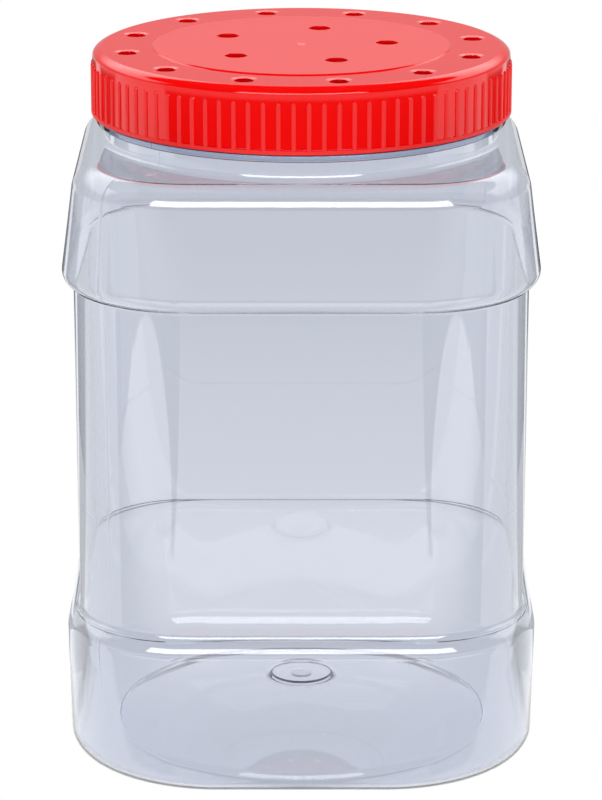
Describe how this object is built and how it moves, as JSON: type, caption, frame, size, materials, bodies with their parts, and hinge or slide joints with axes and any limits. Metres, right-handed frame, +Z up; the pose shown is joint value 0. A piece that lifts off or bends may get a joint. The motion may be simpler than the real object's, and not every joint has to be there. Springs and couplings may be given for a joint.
{
  "type": "plastic jar",
  "caption": "Square clear plastic grip jar with rounded corners, a wide round neck and a ribbed red screw lid with vent holes.",
  "frame": {"origin": "middle of the foot's plane, on the table", "axes": "+Z up along the neck's axis, with flat faces of the body towards +X, -X, +Y and -Y. The picture looks at the -Y face"},
  "size_m": [0.1292, 0.1292, 0.1958],
  "materials": {
    "clear_plastic": "clear glossy blown plastic, colourless with a faint blue-grey edge",
    "red_plastic": "opaque red moulded plastic, glossy, with a slightly satin raised disc on top"
  },
  "bodies": {
    "jar": {"jar_body": "clear_plastic"},
    "lid": {"screw_lid": "red_plastic"}
  },
  "joints": [
    {"name": "lid_lift", "type": "slide", "parent": "jar", "child": "lid", "axis": [0, 0, 1], "range_m": [0, 0.1]}
  ]
}
